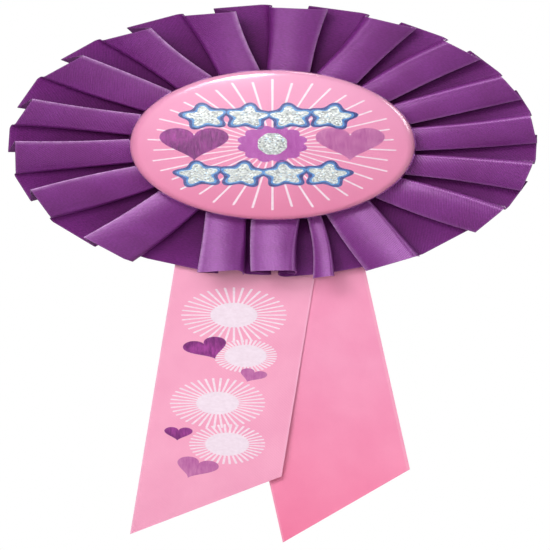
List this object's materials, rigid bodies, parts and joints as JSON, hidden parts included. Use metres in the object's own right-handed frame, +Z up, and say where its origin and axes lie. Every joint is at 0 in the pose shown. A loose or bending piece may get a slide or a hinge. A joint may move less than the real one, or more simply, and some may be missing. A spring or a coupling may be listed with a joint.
{
  "type": "award rosette",
  "caption": "Pleated ribbon rosette with a domed button in the middle, slant-cut satin tails and a locking bar pin on the back, worn as an award.",
  "frame": {"origin": "middle of the closed pin needle, which holds the rosette up on what it is worn on", "axes": "+Z up as worn, +X to the right of someone looking at the front, +Y out of the back towards the wearer, so the button and the print face -Y"},
  "size_m": [0.0825, 0.0192, 0.1596],
  "materials": {
    "film": "clear polyester film, glossy",
    "printed_paper": "smooth printed paper",
    "tinplate": "tinned steel sheet",
    "foam_tape": "white foam tape",
    "purple_satin": "polyester satin ribbon with a fine diagonal weave",
    "pink_satin": "polyester satin ribbon, printed in white and purple foil",
    "deep_pink_satin": "polyester satin ribbon, plain",
    "staple_wire": "galvanised flat wire",
    "white_card": "smooth white card",
    "grey_card": "plain grey board",
    "nickel_plate": "bright nickel plate"
  },
  "bodies": {
    "rosette": {"button_cover_film": "film", "button_print_disc": "printed_paper", "button_shell": "tinplate", "button_back_plate": "tinplate", "button_foam_pad": "foam_tape", "pleated_ruffle": "purple_satin", "ruffle_staple_1": "staple_wire", "ruffle_staple_2": "staple_wire", "ruffle_staple_3": "staple_wire", "ruffle_staple_4": "staple_wire", "ruffle_staple_5": "staple_wire", "ruffle_staple_6": "staple_wire", "back_card": "white_card", "card_adhesive_pad": "foam_tape", "rosette_card": "grey_card", "left_tail_top": "pink_satin", "right_tail_top": "deep_pink_satin", "tail_staple_1": "staple_wire", "tail_staple_2": "staple_wire", "pin_adhesive_pad": "foam_tape", "pin_bar": "nickel_plate", "pin_hinge_rivet": "nickel_plate"},
    "front_tail": {"left_tail": "pink_satin"},
    "rear_tail": {"right_tail": "deep_pink_satin"},
    "needle": {"pin_needle": "nickel_plate"},
    "catch": {"pin_catch": "nickel_plate"}
  },
  "joints": [
    {"name": "needle_swing", "type": "hinge", "parent": "rosette", "child": "needle", "pos_m": [-0.011, 0, 0], "axis": [0, 0, 1], "range_deg": [0, 100]},
    {"name": "catch_turn", "type": "hinge", "parent": "rosette", "child": "catch", "pos_m": [0.0105, 0, 0], "axis": [-1, 0, 0], "range_deg": [0, 100]},
    {"name": "front_tail_swing", "type": "hinge", "parent": "rosette", "child": "front_tail", "pos_m": [-0.0048, -0.00555, -0.0485], "axis": [-1, 0, 0], "range_deg": [0, 80]},
    {"name": "rear_tail_swing", "type": "hinge", "parent": "rosette", "child": "rear_tail", "pos_m": [0.0039, -0.0052, -0.0485], "axis": [1, 0, 0], "range_deg": [0, 80]}
  ]
}
